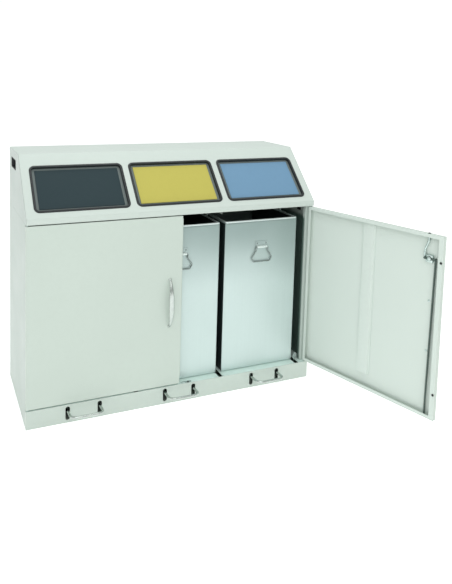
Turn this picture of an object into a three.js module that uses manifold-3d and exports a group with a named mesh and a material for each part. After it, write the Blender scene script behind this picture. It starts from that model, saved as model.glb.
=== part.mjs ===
// Recycling bin station: a sheet-steel cabinet for three bins, with a sloped
// hood that has three drop-in flaps, two doors with a rod lock, and three foot
// pedals that open the flaps through push rods.
// Units are millimetres, +Z is up, +X is to the right, -Y is the front.
// The origin is the centre of the underside of the cabinet.
import * as THREE from 'three';
import { mergeVertices } from 'three/addons/utils/BufferGeometryUtils.js';
import Module from 'manifold-3d';

const wasm = await Module();
wasm.setup();
const { Manifold, Mesh: SolidMesh } = wasm;

// ---------------------------------------------------------------- dimensions
const W = 1200;            // overall width of the cabinet
const D = 444;             // overall depth of the cabinet
const H = 984;             // overall height
const F = -D / 2;          // front plane
const B = D / 2;           // back plane
const T = 1.5;             // sheet thickness
const GAP = 0.3;           // gap kept between touching pieces
const PLINTH = 69;         // top of the floor panel above the ground
const HOOD_Z = 755;        // lower edge of the hood
const LIP_Z = 777;         // top of the hood's vertical lip
const SLOPE_Y = -21;       // front edge of the hood's flat top
const BODY_Y = F + 21;     // front edge of the side panels, behind the doors

const DOOR_T = 18;         // door pan depth
const DOOR_Z0 = 74, DOOR_Z1 = 751;
const DOOR_FREE_R = 1;     // free edge of the right door when closed
const DOOR_FREE_L = -1;    // free edge of the left door
const PIN_IN = 6;          // hinge pin inset from the door's side and face
const DOOR_OPEN = THREE.MathUtils.degToRad(106.9);   // stored opening angle of the right door

const FLAP_C = [-386.5, 0, 386.5]; // centre of each flap window
const BIN_C = [-356, 8, 372];    // centre of each bin
const PEDAL_C = [-386, 0, 386];  // centre of each pedal
const ROD_X = [-174, 190, 554];  // push rod to the right of each bin
const ROD_Y = -30;
const BIN_W = 340, BIN_Y0 = -188, BIN_Y1 = 203, BIN_Z0 = PLINTH + 0.4, BIN_Z1 = 705;
const LOCK_X = 55, LOCK_Z = 660;         // lock in the right door
const HANDLE_Z = 410, HANDLE_HALF = 95;  // door handles

const PIVOT_Y = -121, PIVOT_Z = 43;      // pedal shaft
const LEVER = 91;                        // pedal crank length behind the shaft
const HINGE_S = 235, HINGE_DEPTH = 12;   // flap hinge, along and below the slope
const EAR = 25;                          // flap lever length
const EAR_A = THREE.MathUtils.degToRad(23.5);

// slope of the hood: unit vector up the slope and outward normal in (y, z)
const SL = Math.hypot(SLOPE_Y - F, H - LIP_Z);
const UY = (SLOPE_Y - F) / SL, UZ = (H - LIP_Z) / SL;
const NY = -UZ, NZ = UY;
const slopePoint = (s, d) => [F + s * UY - d * NY, LIP_Z + s * UZ - d * NZ];

// ------------------------------------------------------------------- helpers
function solid(geometry) {
  const g = geometry.clone();
  g.deleteAttribute('normal');
  if (g.attributes.uv) g.deleteAttribute('uv');
  const m = mergeVertices(g, 1e-4);
  return new Manifold(new SolidMesh({
    numProp: 3,
    vertProperties: new Float32Array(m.attributes.position.array),
    triVerts: new Uint32Array(m.index.array),
  }));
}
function geometryOf(s) {
  const mesh = s.getMesh();
  const g = new THREE.BufferGeometry();
  const p = new Float32Array(mesh.numVert * 3);
  for (let i = 0; i < mesh.numVert; i++) {
    for (let k = 0; k < 3; k++) p[3 * i + k] = mesh.vertProperties[mesh.numProp * i + k];
  }
  g.setAttribute('position', new THREE.BufferAttribute(p, 3));
  g.setIndex(new THREE.BufferAttribute(new Uint32Array(mesh.triVerts), 1));
  g.computeVertexNormals();
  return g;
}
function boxGeo(x0, x1, y0, y1, z0, z1) {
  const g = new THREE.BoxGeometry(x1 - x0, y1 - y0, z1 - z0);
  g.translate((x0 + x1) / 2, (y0 + y1) / 2, (z0 + z1) / 2);
  return g;
}
const box = (...a) => solid(boxGeo(...a));
function cyl(axis, r, a0, a1, c1, c2, n = 16) {
  // cylinder along an axis from a0 to a1; c1, c2 are the other two coordinates in x, y, z order
  const g = new THREE.CylinderGeometry(r, r, a1 - a0, n);
  if (axis === 'x') { g.rotateZ(Math.PI / 2); g.translate((a0 + a1) / 2, c1, c2); }
  if (axis === 'y') { g.translate(c1, (a0 + a1) / 2, c2); }
  if (axis === 'z') { g.rotateX(Math.PI / 2); g.translate(c1, c2, (a0 + a1) / 2); }
  return solid(g);
}
const join = (...s) => s.reduce((a, b) => a.add(b));
const cut = (a, ...s) => s.reduce((x, y) => x.subtract(y), a);

// prism with its outline in (y, z), swept along X
function prismX(points, x0, x1) {
  const sh = new THREE.Shape(points.map(([y, z]) => new THREE.Vector2(y, z)));
  const g = new THREE.ExtrudeGeometry(sh, { depth: x1 - x0, bevelEnabled: false });
  // shape x -> world y, shape y -> world z, depth -> world x
  g.applyMatrix4(new THREE.Matrix4().set(0, 0, 1, x0, 1, 0, 0, 0, 0, 1, 0, 0, 0, 0, 0, 1));
  return solid(g);
}
function roundedRect(hw, hh, r) {
  const s = new THREE.Shape();
  s.moveTo(-hw + r, -hh);
  s.lineTo(hw - r, -hh); s.absarc(hw - r, -hh + r, r, -Math.PI / 2, 0, false);
  s.lineTo(hw, hh - r); s.absarc(hw - r, hh - r, r, 0, Math.PI / 2, false);
  s.lineTo(-hw + r, hh); s.absarc(-hw + r, hh - r, r, Math.PI / 2, Math.PI, false);
  s.lineTo(-hw, -hh + r); s.absarc(-hw + r, -hh + r, r, Math.PI, 1.5 * Math.PI, false);
  return s;
}
function roundedBlock(hw, hh, r, z0, z1, seg = 5) {
  const g = new THREE.ExtrudeGeometry(roundedRect(hw, hh, r), { depth: z1 - z0, bevelEnabled: false, curveSegments: seg });
  g.translate(0, 0, z0);
  return g;
}
// a block built in the slope's own frame: local x = X, local y = up the slope, local z = outward
function onSlope(geometry, cx, cs) {
  const [y, z] = slopePoint(cs, 0);
  const m = new THREE.Matrix4().set(1, 0, 0, cx, 0, UY, NY, y, 0, UZ, NZ, z, 0, 0, 0, 1);
  return geometry.clone().applyMatrix4(m);
}
// straight runs joined by quadratic bends, swept with a round section
function bentBar(points, r, bend, steps, sides = 8) {
  const v = points.map(p => new THREE.Vector3(...p));
  const path = new THREE.CurvePath();
  let from = v[0];
  for (let i = 1; i < v.length - 1; i++) {
    const a = v[i - 1].clone().sub(v[i]), b = v[i + 1].clone().sub(v[i]);
    const k = Math.min(bend, a.length() * 0.45, b.length() * 0.45);
    const p = v[i].clone().addScaledVector(a.normalize(), k);
    const q = v[i].clone().addScaledVector(b.normalize(), k);
    path.add(new THREE.LineCurve3(from, p));
    path.add(new THREE.QuadraticBezierCurve3(p, v[i], q));
    from = q;
  }
  path.add(new THREE.LineCurve3(from, v[v.length - 1]));
  const sh = new THREE.Shape();
  for (let i = 0; i < sides; i++) {
    const a = 2 * Math.PI * (i + 0.5) / sides;
    i ? sh.lineTo(r * Math.cos(a), r * Math.sin(a)) : sh.moveTo(r * Math.cos(a), r * Math.sin(a));
  }
  return new THREE.ExtrudeGeometry(sh, { steps, bevelEnabled: false, extrudePath: path });
}

// ----------------------------------------------------------------- materials
const finish = {
  body: [0xccd8cf, 0.45, 0.0], hood: [0xd6e0d8, 0.45, 0.0], inside: [0xb9c4bd, 0.6, 0.0],
  zinc: [0xaebbb8, 0.38, 0.85], dark: [0x23292b, 0.6, 0.2], rubber: [0x15181a, 0.8, 0.0],
  steel: [0x8d9695, 0.35, 0.9], slate: [0x384650, 0.4, 0.0], olive: [0xc3bb60, 0.4, 0.0], blue: [0x769cba, 0.4, 0.0],
};
const station = new THREE.Group();
const rightDoor = new THREE.Group();
const PIN_XR = W / 2 - PIN_IN, PIN_Y = F + PIN_IN;
rightDoor.position.set(PIN_XR, PIN_Y, 0);
rightDoor.rotation.z = DOOR_OPEN;
station.add(rightDoor);
function add(name, geometry, kind, group = station) {
  const [color, roughness, metalness] = finish[kind];
  const mesh = new THREE.Mesh(geometry, new THREE.MeshStandardMaterial({ color, roughness, metalness }));
  mesh.name = name;
  if (group === rightDoor) mesh.position.set(-PIN_XR, -PIN_Y, 0);
  group.add(mesh);
  return mesh;
}

// ------------------------------------------------------------------ lower body
const IN = W / 2 - T - GAP;     // inner half width between the side panels
add('base_plate', boxGeo(-IN, IN, F + T + GAP, B - T - GAP, 0, 2), 'body');

{ // kick plate: front with six rounded slots and a short return at each end
  const h = 51, w = 17, zc = 36;
  let k = cut(box(-W / 2, W / 2, F, BODY_Y - GAP, 0, PLINTH),
    box(-W / 2 + T, W / 2 - T, F + T, BODY_Y + 5, -5, PLINTH + 5));
  for (const c of PEDAL_C) for (const dx of [-61, 61]) {
    const g = roundedBlock(w / 2, h / 2, w / 2 - 0.6, -5, 5, 3);
    g.rotateX(Math.PI / 2); g.translate(c + dx, F + T / 2, zc);
    k = cut(k, solid(g));
  }
  add('kick_plate', geometryOf(k), 'body');
}
for (const [name, s] of [['left_side_panel', -1], ['right_side_panel', 1]]) {
  const o = s * W / 2;
  const bx = (a, b, ...r) => box(Math.min(s * a, s * b), Math.max(s * a, s * b), ...r);
  const p = join(bx(W / 2 - T, W / 2, BODY_Y, B, 0, HOOD_Z - GAP),
    bx(574, W / 2, BODY_Y, BODY_Y + T, PLINTH + GAP, HOOD_Z - GAP),
    bx(574, 574 + T, BODY_Y, BODY_Y + 17, PLINTH + GAP, HOOD_Z - GAP));
  add(name, geometryOf(p), 'body');
}
add('back_panel', boxGeo(-IN, IN, B - T, B, 0, H - T - GAP), 'body');
{
  let f = box(-IN, IN, F + T + GAP, B - T - GAP, PLINTH - T, PLINTH);
  for (const [i, x] of ROD_X.entries()) {
    const n = [-180, 185, 549][i];      // notch in the front edge, below the gap beside the bin
    f = cut(f, box(n - 9, n + 9, -240, -150, PLINTH - 5, PLINTH + 5), box(x - 8, x + 8, ROD_Y - 8, ROD_Y + 8, PLINTH - 5, PLINTH + 5));
  }
  f = cut(f, cyl('z', 7, PLINTH - 5, PLINTH + 5, 41, F + 8, 12));
  add('floor_panel', geometryOf(f), 'body');
}
{
  const r = join(box(-IN, IN, F + T + GAP, F + 25, HOOD_Z + GAP, HOOD_Z + GAP + T),
    box(-IN, IN, F + 23.5, F + 25, HOOD_Z - 5, HOOD_Z + GAP + T));
  // the vertical leg stops short of the side panels' flanges
  const trim = join(box(-700, -565, F + 20, F + 30, HOOD_Z - 20, HOOD_Z + 0.1), box(565, 700, F + 20, F + 30, HOOD_Z - 20, HOOD_Z + 0.1));
  add('head_rail', geometryOf(cut(r, trim, cyl('z', 6.5, HOOD_Z - 5, HOOD_Z + 5, 61, F + 8, 12))), 'body');
}
for (const [name, s] of [['left', -1], ['right', 1]]) {
  const x = s * PIN_XR;
  add(`${name}_hinge_pin_bottom`, geometryOf(cyl('z', 3, PLINTH + GAP, PLINTH + 14, x, PIN_Y, 12)), 'steel');
  add(`${name}_hinge_pin_top`, geometryOf(cyl('z', 3, HOOD_Z - 13, HOOD_Z, x, PIN_Y, 12)), 'steel');
}

// ------------------------------------------------------------------------ hood
const WIN_HW = 175, WIN_S0 = 29.5, WIN_S1 = 224.5, WIN_C = (WIN_S0 + WIN_S1) / 2, WIN_HH = (WIN_S1 - WIN_S0) / 2;
{
  const iy = F + T, off = [F - T * NY, LIP_Z - T * NZ];     // inner corner of the lower fold
  const t = (iy - off[0]) / UY;
  const inner = [iy, off[1] + t * UZ];
  const u = (H - T - off[1]) / UZ;                              // inner corner of the upper fold
  const upper = [off[0] + u * UY, H - T];
  let p = prismX([[F, HOOD_Z], [iy, HOOD_Z], inner, upper, [B, H - T], [B, H], [SLOPE_Y, H], [F, LIP_Z]], -IN, IN);
  for (const c of FLAP_C) p = cut(p, solid(onSlope(roundedBlock(WIN_HW, WIN_HH, 15, -12, 12), c, WIN_C)));
  add('hood_shell', geometryOf(p), 'hood');
}
const GRIP_Y = 102, GRIP_Z = 931, GRIP_HL = 64, GRIP_HH = 20.5;
for (const [name, s] of [['left', -1], ['right', 1]]) {
  const x0 = s < 0 ? -W / 2 : W / 2 - T, x1 = x0 + T;
  const hole = roundedBlock(GRIP_HL, GRIP_HH, 8, -20, 20, 4);
  const m = new THREE.Matrix4().set(0, 0, 1, (x0 + x1) / 2, 1, 0, 0, GRIP_Y, 0, 1, 0, GRIP_Z, 0, 0, 0, 1);
  const cheek = cut(prismX([[F, HOOD_Z + GAP], [B, HOOD_Z + GAP], [B, H], [SLOPE_Y, H], [F, LIP_Z]], x0, x1), solid(hole.applyMatrix4(m)));
  add(`${name}_hood_cheek`, geometryOf(cheek), 'hood');
  // grip: a moulded cup let into the cheek, open to the side
  const place = (g, xa, xb) => g.applyMatrix4(new THREE.Matrix4().set(0, 0, s, s * W / 2, 1, 0, 0, GRIP_Y, 0, 1, 0, GRIP_Z, 0, 0, 0, 1));
  const cupOut = box(Math.min(s * 572, s * 600), Math.max(s * 572, s * 600), GRIP_Y - GRIP_HL + 0.4, GRIP_Y + GRIP_HL - 0.4, GRIP_Z - GRIP_HH + 0.4, GRIP_Z + GRIP_HH - 0.4);
  const rounded = solid(roundedBlock(GRIP_HL - 0.4, GRIP_HH - 0.4, 7.6, -100, 100, 4).applyMatrix4(m));
  const cupIn = solid(roundedBlock(GRIP_HL - 3, GRIP_HH - 3, 5.5, -100, 100, 4).applyMatrix4(m));
  const hollow = box(Math.min(s * 575, s * 640), Math.max(s * 575, s * 640), GRIP_Y - 80, GRIP_Y + 80, GRIP_Z - 40, GRIP_Z + 40);
  add(`${name}_side_grip`, geometryOf(cut(cupOut.intersect(rounded), cupIn.intersect(hollow))), 'rubber');
}
for (const [name, x] of [['left_hood_gusset', -193], ['right_hood_gusset', 190]]) {
  const zAt = y => LIP_Z + (y - F) * UZ / UY - T / UY - 0.6;
  add(name, geometryOf(prismX([[-176, 735], [-71, 735], [-71, zAt(-71)], [-176, zAt(-176)]], x - T / 2, x + T / 2)), 'hood');
}
// small black block on the inside of the right panel, and a wire eye by the right floor notch
add('wall_stop', boxGeo(592.5, 598.2, -130, -108, 718, 728), 'rubber');
add('linkage_eye', bentBar([[549, -194, 58], [549, -194, 92], [553, -194, 104], [558.5, -194, 96], [556, -194, 84]], 1.8, 6, 20, 6), 'steel');
const [HY, HZ] = slopePoint(HINGE_S, HINGE_DEPTH);
add('flap_hinge_rod', geometryOf(cyl('x', 4, -IN + 1, IN - 1, HY, HZ, 12)), 'steel');

const flapColour = ['slate', 'olive', 'blue'];
FLAP_C.forEach((c, i) => {
  const n = i + 1;
  // black edge frame: a flange on the sheet and a neck through the window
  const oHW = 181.7, oHH = 104.5, iHW = 172, iHH = 94.5;
  const flange = solid(roundedBlock(oHW, oHH, 21, GAP, 2.8, 4));
  const neck = solid(roundedBlock(WIN_HW - 0.7, WIN_HH - 0.7, 14.3, -7.5, 2.8, 4));
  const bore = solid(roundedBlock(iHW, iHH, 12, -30, 30, 4));
  add(`flap_frame_${n}`, onSlope(geometryOf(cut(join(flange, neck), bore)), c, WIN_C), 'rubber');
  // flap plate behind the window, with hinge sleeves and a lever at its right end
  const plate = solid(onSlope(boxGeo(-174.5, 174.5, 22 - WIN_C, 230 - WIN_C, -10.3, -8.8), c, WIN_C));
  const lip = solid(onSlope(boxGeo(-174.5, 174.5, 22 - WIN_C, 23.5 - WIN_C, -20, -8.8), c, WIN_C));
  let f = join(plate, lip, cyl('x', 7.5, c - 165, c - 130, HY, HZ, 14), cyl('x', 7.5, c + 130, c + 165, HY, HZ, 14));
  const py = HY + EAR * Math.cos(EAR_A), pz = HZ - EAR * Math.sin(EAR_A);
  const ux = Math.cos(EAR_A), uz = -Math.sin(EAR_A);
  f = join(f, prismX([[HY - 6 * uz * -1, HZ + 6 * ux], [HY + 6 * uz, HZ - 6 * ux], [py + 5 * uz + 4 * ux, pz - 5 * ux + 4 * uz], [py - 5 * uz + 4 * ux, pz + 5 * ux + 4 * uz]], c + 155, c + 158));
  f = join(f, cyl('x', 3, c + 156, ROD_X[i] + 5, py, pz, 10));
  f = cut(f, cyl('x', 4.6, c - 200, c + 200, HY, HZ, 14));
  add(`flap_${n}`, geometryOf(f), 'body');
  add(`flap_panel_${n}`, onSlope(roundedBlock(161, 85.5, 3, -8.5, -6.6, 2), c, WIN_C), flapColour[i]);
});

// ------------------------------------------------------------------------ bins
BIN_C.forEach((c, i) => {
  const n = i + 1, w = BIN_W / 2, z0 = BIN_Z0;
  const shell = cut(join(box(c - w, c + w, BIN_Y0 + 1.5, BIN_Y1 - 1.5, z0, BIN_Z1 - 1),
    box(c - w, c + w, BIN_Y0, BIN_Y1, BIN_Z1 - 9, BIN_Z1)),
    box(c - w + T, c + w - T, BIN_Y0 + 1.5 + T, BIN_Y1 - 1.5 - T, z0 + T, BIN_Z1 + 5));
  add(`bin_${n}`, geometryOf(shell), 'zinc');
  const y = BIN_Y0 - 4, fy = BIN_Y0 + 1.5;       // bail axis and the bin's front face
  let b = join(box(c - 30, c + 30, fy - 1.8, fy - GAP, 590, 618), cyl('x', 5, c - 24, c + 24, y, 589, 12),
    box(c - 24, c + 24, y, fy - GAP, 589, 594));
  b = cut(b, cyl('x', 3.2, c - 60, c + 60, y, 589, 12));
  add(`bail_bracket_${n}`, geometryOf(b), 'zinc');
  const bp = [[-15, 589], [-29, 589], [-27, 573], [-47, 545], [-38, 527.5], [38, 527.5], [47, 545], [27, 573], [29, 589], [15, 589]];
  add(`bail_${n}`, bentBar(bp.map(([x, z]) => [c + x, y, z]), 2.5, 5, 40, 6), 'steel');
});

// ---------------------------------------------------------------------- pedals
add('pedal_shaft', geometryOf(cyl('x', 5, -IN + 1, IN - 1, PIVOT_Y, PIVOT_Z, 12)), 'steel');
PEDAL_C.forEach((c, i) => {
  const n = i + 1, x = ROD_X[i];
  const u = solid(bentBar([[c - 61, PIVOT_Y - 7, PIVOT_Z], [c - 61, F - 62, 48], [c + 61, F - 62, 48], [c + 61, PIVOT_Y - 7, PIVOT_Z]], 5, 22, 22, 8));
  const sleeve = cyl('x', 9, c - 70, x + 6, PIVOT_Y, PIVOT_Z, 14);
  const a = Math.atan2(-12, LEVER), ca = Math.cos(a), sa = Math.sin(a), l = Math.hypot(LEVER, 12) + 7;
  const lever = prismX([[PIVOT_Y - 4 * sa, PIVOT_Z + 4 * ca], [PIVOT_Y + 4 * sa, PIVOT_Z - 4 * ca],
    [PIVOT_Y + l * ca + 3 * sa, PIVOT_Z + l * sa - 3 * ca], [PIVOT_Y + l * ca - 3 * sa, PIVOT_Z + l * sa + 3 * ca]], x - 5, x + 5);
  add(`pedal_${n}`, geometryOf(cut(join(u, sleeve, lever), cyl('x', 5.5, c - 200, c + 400, PIVOT_Y, PIVOT_Z, 14))), 'body');
  const pz = HZ - EAR * Math.sin(EAR_A);
  add(`push_rod_${n}`, geometryOf(cyl('z', 4, PIVOT_Z - 12 + 5, pz - 4.5, x, ROD_Y, 12)), 'steel');
});

// ----------------------------------------------------------------------- doors
function pan(x0, x1, lip0, lip1) {
  const z0 = DOOR_Z0, z1 = DOOR_Z1, e = 13;
  return cut(box(x0, x1, F, F + DOOR_T, z0, z1), box(x0 + T, x1 - T, F + T, F + DOOR_T - T, z0 + T, z1 - T),
    box(x0 + lip0, x1 - lip1, F + DOOR_T - 5, F + DOOR_T + 5, z0 + e, z1 - e));
}
{
  let d = pan(-W / 2, DOOR_FREE_L, 12, 18);
  d = cut(d, cyl('z', 3.5, DOOR_Z0 - 3, DOOR_Z0 + 3, -PIN_XR, PIN_Y, 12), cyl('z', 3.5, DOOR_Z1 - 3, DOOR_Z1 + 3, -PIN_XR, PIN_Y, 12));
  add('left_door', geometryOf(d), 'body');
  add('door_stop_strip', geometryOf(join(box(-18, -1.5, F + 18.3, F + 19.8, 91, 736), box(-3, -1.5, F + 18.3, F + 23, 91, 736), box(-3, 10.5, F + 21.5, F + 23, 91, 736))), 'body');
}
{
  let d = pan(DOOR_FREE_R, W / 2, 18, 12);
  d = cut(d, cyl('z', 3.5, DOOR_Z0 - 3, DOOR_Z0 + 3, PIN_XR, PIN_Y, 12), cyl('z', 3.5, DOOR_Z1 - 3, DOOR_Z1 + 3, PIN_XR, PIN_Y, 12),
    cyl('z', 6, DOOR_Z1 - 3, DOOR_Z1 + 3, 61, F + 8.4, 12), cyl('z', 6, DOOR_Z0 - 3, DOOR_Z0 + 3, 41, F + 8.4, 12),
    cyl('y', 8.5, F - 5, F + 5, LOCK_X, LOCK_Z, 16));
  add('right_door', geometryOf(d), 'body', rightDoor);
}
function hat(x, group, name) {
  const y = F + T + GAP;
  const outline = [[-30, 0], [-24, 0], [-22.5, 4.5], [22.5, 4.5], [24, 0], [30, 0], [30, 1.5], [25.1, 1.5], [23.6, 6], [-23.6, 6], [-25.1, 1.5], [-30, 1.5]];
  const sh = new THREE.Shape(outline.map(([a, b]) => new THREE.Vector2(x + a, y + b)));
  const g = new THREE.ExtrudeGeometry(sh, { depth: 613, bevelEnabled: false });
  g.translate(0, 0, 130);
  add(name, g, 'body', group);
}
hat(-311, station, 'left_door_stiffener');
hat(311, rightDoor, 'right_door_stiffener');
function handle(x, group, name) {
  const z = HANDLE_Z, k = HANDLE_HALF;
  add(name, bentBar([[x, F - GAP, z - k], [x, F - 20, z - k], [x, F - 29, z - 60], [x, F - 29, z + 60], [x, F - 20, z + k], [x, F - GAP, z + k]], 5, 20, 18, 8), 'steel', group);
}
handle(-50, station, 'left_door_handle');
handle(51, rightDoor, 'right_door_handle');
for (const [n, z] of [['upper', 656], ['lower', 170]]) {
  add(`door_buffer_${n}`, geometryOf(cyl('y', 4.5, F + 18.3, F + 21.1, 7, z, 12)), 'rubber', rightDoor);
}
{ // lock: barrel through the door with an outer rosette and an inner case
  const c = join(cyl('y', 13, F - 4, F - GAP, LOCK_X, LOCK_Z, 20), cyl('y', 8, F - 4, F + 8, LOCK_X, LOCK_Z, 16),
    box(LOCK_X - 13, LOCK_X + 13, F + T + GAP, F + 11.5, LOCK_Z - 14, LOCK_Z + 14));
  add('lock_case', geometryOf(c), 'steel', rightDoor);
  const cam = join(cyl('y', 9, F + 12.6, F + 14.8, LOCK_X, LOCK_Z, 16), box(LOCK_X - 25, LOCK_X + 21, F + 12.6, F + 14.8, LOCK_Z - 4.5, LOCK_Z + 4.5));
  add('lock_cam', geometryOf(cam), 'dark', rightDoor);
  // the rods lie behind the cam; their outer ends stand in the holes of the door's top and bottom edges
  add('lower_lock_rod', bentBar([[32, F + 8, 665], [32.3, F + 8, 643], [41, F + 8, 140], [41, F + 8, 75]], 3.8, 20, 8, 8), 'dark', rightDoor);
  add('upper_lock_rod', bentBar([[74, F + 8, 655], [74, F + 8, 690], [61, F + 8, 722], [61, F + 8, 753.5]], 3.8, 8, 12, 8), 'steel', rightDoor);
}

export default station;
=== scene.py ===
import bpy, bmesh, math
from mathutils import Matrix, Vector


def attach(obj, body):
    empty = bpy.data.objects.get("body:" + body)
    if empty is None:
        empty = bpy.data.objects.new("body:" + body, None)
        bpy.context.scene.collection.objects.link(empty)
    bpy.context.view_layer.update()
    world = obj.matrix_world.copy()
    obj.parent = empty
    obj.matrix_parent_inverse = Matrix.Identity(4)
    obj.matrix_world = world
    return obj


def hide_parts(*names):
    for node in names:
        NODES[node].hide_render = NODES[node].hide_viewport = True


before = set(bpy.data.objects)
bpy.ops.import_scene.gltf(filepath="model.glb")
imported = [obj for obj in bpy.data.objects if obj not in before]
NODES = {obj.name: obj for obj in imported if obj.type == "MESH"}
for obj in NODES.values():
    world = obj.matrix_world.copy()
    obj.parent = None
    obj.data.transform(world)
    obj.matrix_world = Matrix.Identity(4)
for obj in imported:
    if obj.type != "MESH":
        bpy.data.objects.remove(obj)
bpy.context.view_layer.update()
MM = 0.001

# ------------------------------------------------------------------ dimensions, mm
W, D, H = 1200.0, 444.0, 984.0
F, B = -D / 2, D / 2
T = 1.5
PLINTH, HOOD_Z, LIP_Z, SLOPE_Y = 69.0, 755.0, 777.0, -21.0
IN = W / 2 - T - 0.3
SL = math.hypot(SLOPE_Y - F, H - LIP_Z)
UY, UZ = (SLOPE_Y - F) / SL, (H - LIP_Z) / SL
NY, NZ = -UZ, UY
FLAP_C = [-386.5, 0, 386.5]
BIN_C = [-356, 8, 372]
PEDAL_C = [-386, 0, 386]
ROD_X = [-174, 190, 554]
ROD_Y, PIVOT_Y, PIVOT_Z, LEVER = -30.0, -121.0, 43.0, 91.0
WIN_HW, WIN_S0, WIN_S1 = 175.0, 29.5, 224.5
WIN_C, WIN_HH = (WIN_S0 + WIN_S1) / 2, (WIN_S1 - WIN_S0) / 2
HINGE_S, HINGE_DEPTH, EAR, EAR_A = 235.0, 12.0, 25.0, math.radians(23.5)


def slope_point(s, d):
    return (F + s * UY - d * NY, LIP_Z + s * UZ - d * NZ)


HY, HZ = slope_point(HINGE_S, HINGE_DEPTH)
PIN = Vector((594 * MM, (F + 6) * MM, 0))
DOOR = Matrix.Translation(PIN) @ Matrix.Rotation(math.radians(106.9), 4, "Z") @ Matrix.Translation(-PIN)


# ------------------------------------------------------------------ materials
def lin(rgb):
    return tuple(((c / 255) / 12.92 if c / 255 <= 0.04045 else ((c / 255 + 0.055) / 1.055) ** 2.4) for c in rgb) + (1.0,)


class Mat:
    """A material with its Principled shader and a short way to add nodes."""

    def __init__(self, name):
        self.m = bpy.data.materials.new(name)
        self.m.use_nodes = True
        self.t = self.m.node_tree
        self.b = self.t.nodes["Principled BSDF"]
        self.co = self.add("ShaderNodeTexCoord").outputs["Object"]

    def add(self, kind, **kw):
        n = self.t.nodes.new(kind)
        for k, v in kw.items():
            if hasattr(n, k):
                setattr(n, k, v)
            else:
                n.inputs[k].default_value = v
        return n

    def link(self, a, b):
        self.t.links.new(a, b)

    def noise(self, scale, detail=2.0, rough=0.5, stretch=None):
        n = self.add("ShaderNodeTexNoise")
        n.inputs["Scale"].default_value = scale
        n.inputs["Detail"].default_value = detail
        n.inputs["Roughness"].default_value = rough
        src = self.co
        if stretch:
            mp = self.add("ShaderNodeMapping")
            mp.inputs["Scale"].default_value = stretch
            self.link(self.co, mp.inputs["Vector"])
            src = mp.outputs["Vector"]
        self.link(src, n.inputs["Vector"])
        return n.outputs["Fac"]

    def span(self, value, a, b, lo, hi, smooth=False):
        n = self.add("ShaderNodeMapRange")
        if smooth:
            n.interpolation_type = "SMOOTHSTEP"
        n.inputs["From Min"].default_value, n.inputs["From Max"].default_value = a, b
        n.inputs["To Min"].default_value, n.inputs["To Max"].default_value = lo, hi
        self.link(value, n.inputs["Value"])
        return n.outputs["Result"]

    def mix(self, fac, a, b):
        n = self.add("ShaderNodeMix")
        n.data_type = "RGBA"
        if isinstance(fac, float):
            n.inputs[0].default_value = fac
        else:
            self.link(fac, n.inputs[0])
        for sock, v in ((n.inputs[6], a), (n.inputs[7], b)):
            if isinstance(v, tuple):
                sock.default_value = v
            else:
                self.link(v, sock)
        return n.outputs[2]

    def z(self):
        s = self.add("ShaderNodeSeparateXYZ")
        self.link(self.co, s.inputs[0])
        return s.outputs["Z"]

    def bump(self, height, strength, dist, chain=None):
        n = self.add("ShaderNodeBump")
        n.inputs["Strength"].default_value = strength
        n.inputs["Distance"].default_value = dist
        self.link(height, n.inputs["Height"])
        if chain is not None:
            self.link(chain, n.inputs["Normal"])
        return n.outputs["Normal"]


def shade(rgb, k):
    return tuple(max(0.0, min(1.0, c * k)) for c in rgb[:3]) + (1.0,)


def powder(name, rgb, r0=0.36, r1=0.48, peel=0.10, var=0.02, dust=0.05, spec=0.3, inner=None, lit=None):
    """Powder-coated sheet: fine orange peel, faint cloudiness, a little dust towards the ground; inner adds painted
    shade inside a side panel, and lit adds painted light on a door leaf's inner face.
    """
    m = Mat(name)
    base = lin(rgb)
    c = m.mix(m.span(m.noise(2.2, 3), 0.3, 0.7, 0, 1), shade(base, 1 - var), shade(base, 1 + var))
    c = m.mix(m.span(m.noise(60, 3), 0.42, 0.75, 0, 0.5), c, shade(base, 1 - 1.5 * var))
    low = m.span(m.z(), 0.0, 0.11, dust, 0.0, True)
    c = m.mix(low, c, lin((150, 146, 134)))
    if inner:
        # a darker tint on the inside of a side panel below the bins' rims; it stands for deep shade, not for another coat
        x = m.add("ShaderNodeSeparateXYZ")
        m.link(m.co, x.inputs[0])
        ax = m.add("ShaderNodeMath", operation="ABSOLUTE")
        m.link(x.outputs["X"], ax.inputs[0])
        inside = m.span(ax.outputs[0], 0.5987, 0.5992, 1.0, 0.0)
        deep = m.span(x.outputs["Y"], -0.2, -0.19, 0.0, 1.0, True)
        both = m.add("ShaderNodeMath", operation="MULTIPLY")
        m.link(inside, both.inputs[0])
        m.link(deep, both.inputs[1])
        shadow = m.mix(m.span(x.outputs["Z"], 0.69, 0.71, 0.0, 1.0, True), lin(inner), lin(rgb))
        c = m.mix(both.outputs[0], c, shadow)
    if lit:
        # a slightly lighter tint on a door leaf's inner face; it stands for light there, not for another coat
        d = m.add("ShaderNodeVectorMath", operation="DOT_PRODUCT")
        m.link(m.add("ShaderNodeTexCoord").outputs["Normal"], d.inputs[0])
        d.inputs[1].default_value = lit[0]
        c = m.mix(m.span(d.outputs["Value"], 0.6, 0.85, 0.0, 0.9, True), c, lin(lit[1]))
    m.link(c, m.b.inputs["Base Color"])
    m.link(m.span(m.noise(9, 4), 0.3, 0.7, r0, r1), m.b.inputs["Roughness"])
    n = m.bump(m.noise(750, 2), peel, 0.0002)
    n = m.bump(m.noise(4, 1), 0.05, 0.001, n)
    m.link(n, m.b.inputs["Normal"])
    m.b.inputs["Specular IOR Level"].default_value = spec
    return m.m


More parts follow.
